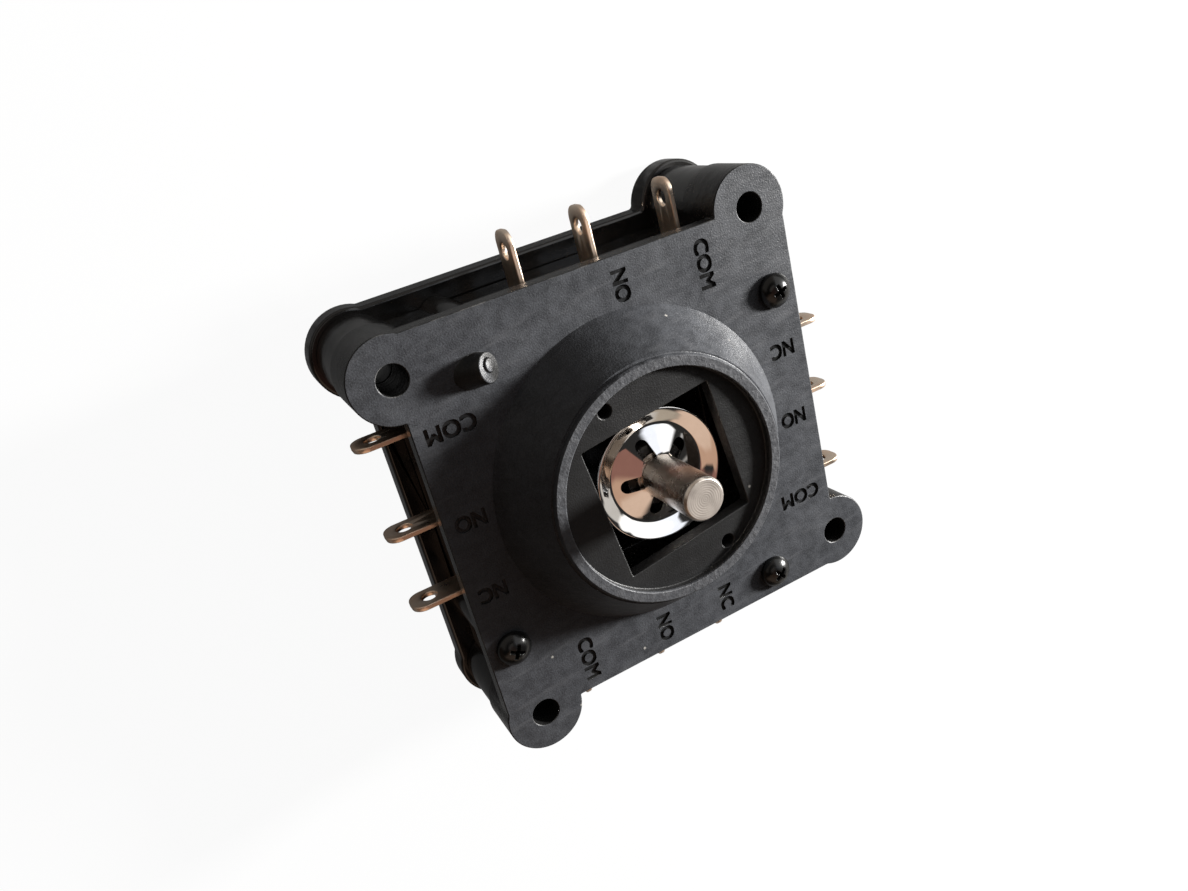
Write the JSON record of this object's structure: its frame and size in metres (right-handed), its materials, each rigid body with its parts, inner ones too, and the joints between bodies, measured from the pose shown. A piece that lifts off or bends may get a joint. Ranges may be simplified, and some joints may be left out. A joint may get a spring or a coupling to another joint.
{
  "type": "joystick switch",
  "caption": "Small panel joystick: a sprung steel stick in a square gate tilts to work snap-action switches with solder tabs round a flat square body.",
  "frame": {"origin": "centre of the square of mounting holes, on the front face of the plate", "axes": "+Z out of the plate along the upright stick, +X and +Y along the rows of mounting holes, the leaning peg towards -X +Y"},
  "size_m": [0.0493, 0.0479, 0.0254],
  "materials": {
    "cover_plastic": "moulded black nylon, fine grain, lightly scuffed",
    "housing_plastic": "glossy black moulding",
    "case_plastic": "satin black switch moulding",
    "black_steel": "glossy black oxide screw",
    "turned_steel": "fine turned steel",
    "polished_steel": "mirror-bright spring steel",
    "spring_steel": "bright drawn steel",
    "pale_plastic": "natural acetal",
    "tinned_bronze": "tinned bronze strip",
    "contact_silver": "silver contact rivet"
  },
  "bodies": {
    "housing": {"front_cover": "cover_plastic", "rear_housing": "housing_plastic", "rear_cover": "housing_plastic", "cover_screws": "black_steel", "centring_spring": "spring_steel", "right_case": "case_plastic", "right_cover": "case_plastic", "right_com_terminal": "tinned_bronze", "right_no_terminal": "tinned_bronze", "right_nc_terminal": "tinned_bronze", "top_case": "case_plastic", "top_cover": "case_plastic", "top_com_terminal": "tinned_bronze", "top_no_terminal": "tinned_bronze", "top_nc_terminal": "tinned_bronze", "left_case": "case_plastic", "left_cover": "case_plastic", "left_com_terminal": "tinned_bronze", "left_no_terminal": "tinned_bronze", "left_nc_terminal": "tinned_bronze", "bottom_case": "case_plastic", "bottom_cover": "case_plastic", "bottom_com_terminal": "tinned_bronze", "bottom_no_terminal": "tinned_bronze", "bottom_nc_terminal": "tinned_bronze"},
    "gimbal": {"pivot_block": "turned_steel", "long_pivot_pin": "spring_steel", "short_pivot_pins": "spring_steel"},
    "stick": {"stick_shaft": "turned_steel", "actuator": "case_plastic", "star_washer": "polished_steel"},
    "right_push": {"right_plunger": "pale_plastic"},
    "right_contact": {"right_snap_blade": "tinned_bronze", "right_moving_contact": "contact_silver"},
    "top_push": {"top_plunger": "pale_plastic"},
    "top_contact": {"top_snap_blade": "tinned_bronze", "top_moving_contact": "contact_silver"},
    "left_push": {"left_plunger": "pale_plastic"},
    "left_contact": {"left_snap_blade": "tinned_bronze", "left_moving_contact": "contact_silver"},
    "bottom_push": {"bottom_plunger": "pale_plastic"},
    "bottom_contact": {"bottom_snap_blade": "tinned_bronze", "bottom_moving_contact": "contact_silver"}
  },
  "joints": [
    {"name": "tilt_up_down", "type": "hinge", "parent": "housing", "child": "gimbal", "pos_m": [0, 0, -0.0094], "axis": [0.9954, -0.0958, 0], "range_deg": [-15, 15], "stiffness_Nm_per_rad": 0.08},
    {"name": "tilt_left_right", "type": "hinge", "parent": "gimbal", "child": "stick", "pos_m": [0, 0, -0.0094], "axis": [0.0958, 0.9954, 0], "range_deg": [-15, 15], "stiffness_Nm_per_rad": 0.08, "deforming": ["centring_spring"]},
    {"name": "right_plunger_slide", "type": "slide", "parent": "housing", "child": "right_push", "axis": [0.9954, -0.0958, 0], "range_m": [-0.0012, 0.0012]},
    {"name": "right_contact_swing", "type": "hinge", "parent": "housing", "child": "right_contact", "pos_m": [0.01208, -0.01121, -0.0048], "axis": [0, 0, 1], "range_deg": [-7, 7]},
    {"name": "top_plunger_slide", "type": "slide", "parent": "housing", "child": "top_push", "axis": [0.0958, 0.9954, 0], "range_m": [-0.0012, 0.0012]},
    {"name": "top_contact_swing", "type": "hinge", "parent": "housing", "child": "top_contact", "pos_m": [0.01121, 0.01208, -0.0048], "axis": [0, 0, 1], "range_deg": [-7, 7]},
    {"name": "left_plunger_slide", "type": "slide", "parent": "housing", "child": "left_push", "axis": [-0.9954, 0.0958, 0], "range_m": [-0.0012, 0.0012]},
    {"name": "left_contact_swing", "type": "hinge", "parent": "housing", "child": "left_contact", "pos_m": [-0.01208, 0.01121, -0.0048], "axis": [0, 0, 1], "range_deg": [-7, 7]},
    {"name": "bottom_plunger_slide", "type": "slide", "parent": "housing", "child": "bottom_push", "axis": [-0.0958, -0.9954, 0], "range_m": [-0.0012, 0.0012]},
    {"name": "bottom_contact_swing", "type": "hinge", "parent": "housing", "child": "bottom_contact", "pos_m": [-0.01121, -0.01208, -0.0048], "axis": [0, 0, 1], "range_deg": [-7, 7]}
  ],
  "couplings": [
    {"joint": "right_plunger_slide", "follows": "tilt_left_right", "m_per_rad": 0.0045},
    {"joint": "right_contact_swing", "follows": "tilt_left_right", "ratio": -0.45},
    {"joint": "top_plunger_slide", "follows": "tilt_up_down", "m_per_rad": -0.0045},
    {"joint": "top_contact_swing", "follows": "tilt_up_down", "ratio": 0.45},
    {"joint": "left_plunger_slide", "follows": "tilt_left_right", "m_per_rad": -0.0045},
    {"joint": "left_contact_swing", "follows": "tilt_left_right", "ratio": 0.45},
    {"joint": "bottom_plunger_slide", "follows": "tilt_up_down", "m_per_rad": 0.0045},
    {"joint": "bottom_contact_swing", "follows": "tilt_up_down", "ratio": -0.45}
  ]
}
